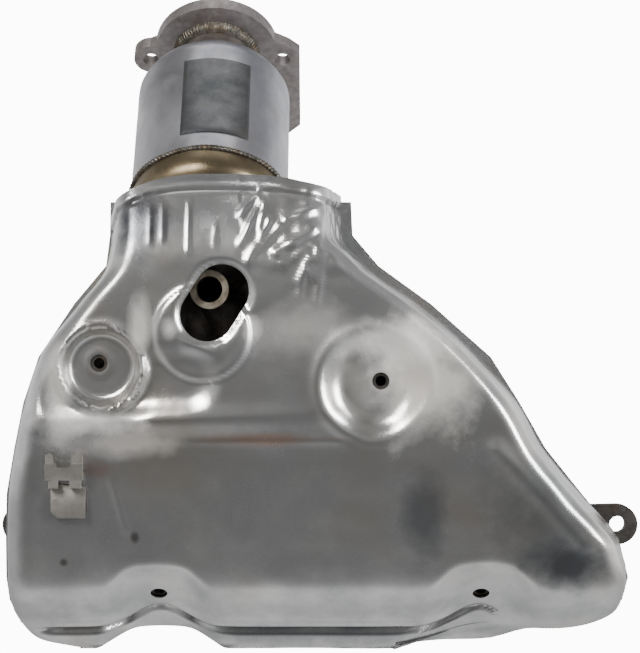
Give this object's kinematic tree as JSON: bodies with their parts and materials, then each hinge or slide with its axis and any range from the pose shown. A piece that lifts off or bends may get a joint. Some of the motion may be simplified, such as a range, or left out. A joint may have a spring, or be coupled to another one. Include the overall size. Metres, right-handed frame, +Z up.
{
  "type": "exhaust manifold with close-coupled catalytic converter",
  "caption": "Exhaust manifold and catalytic converter in one: a canister on a slant above a pressed heat shield, with runner tubes to a head flange and a bolted outlet flange.",
  "frame": {"origin": "centre of the head flange's mating face, in the middle of the port row", "axes": "+X along the port row, +Y out of the mating face into the engine's head, +Z up, towards the outlet"},
  "size_m": [0.427, 0.246, 0.4384],
  "materials": {
    "flange_steel": "satin",
    "tube_steel": "satin",
    "tinted_steel": "satin",
    "can_steel": "satin",
    "weld_steel": "satin",
    "ceramic": "matte",
    "fibre": "matte",
    "zinc_steel": "satin",
    "shield_steel": "satin",
    "bracket_steel": "satin",
    "clip_steel": "satin"
  },
  "bodies": {
    "root": {"head_flange": "flange_steel", "runner_1": "tube_steel", "runner_2": "tube_steel", "runner_3": "tube_steel", "runner_4": "tube_steel", "collector": "tube_steel", "inlet_cone": "tinted_steel", "can_shell": "can_steel", "can_weld_bead": "weld_steel", "can_plate": "can_steel", "catalyst_substrate": "ceramic", "lower_mat_seal": "fibre", "support_mat": "fibre", "upper_mat_seal": "fibre", "outlet_cone": "can_steel", "outlet_pipe": "tube_steel", "outlet_weld_bead": "weld_steel", "outlet_flange": "flange_steel", "oxygen_sensor_bung": "zinc_steel", "front_heat_shield": "shield_steel", "rear_heat_shield": "shield_steel", "right_shield_boss": "bracket_steel", "left_shield_bracket": "bracket_steel", "lower_left_shield_bracket": "bracket_steel", "lower_right_shield_bracket": "bracket_steel", "harness_clip": "clip_steel"}
  },
  "joints": []
}
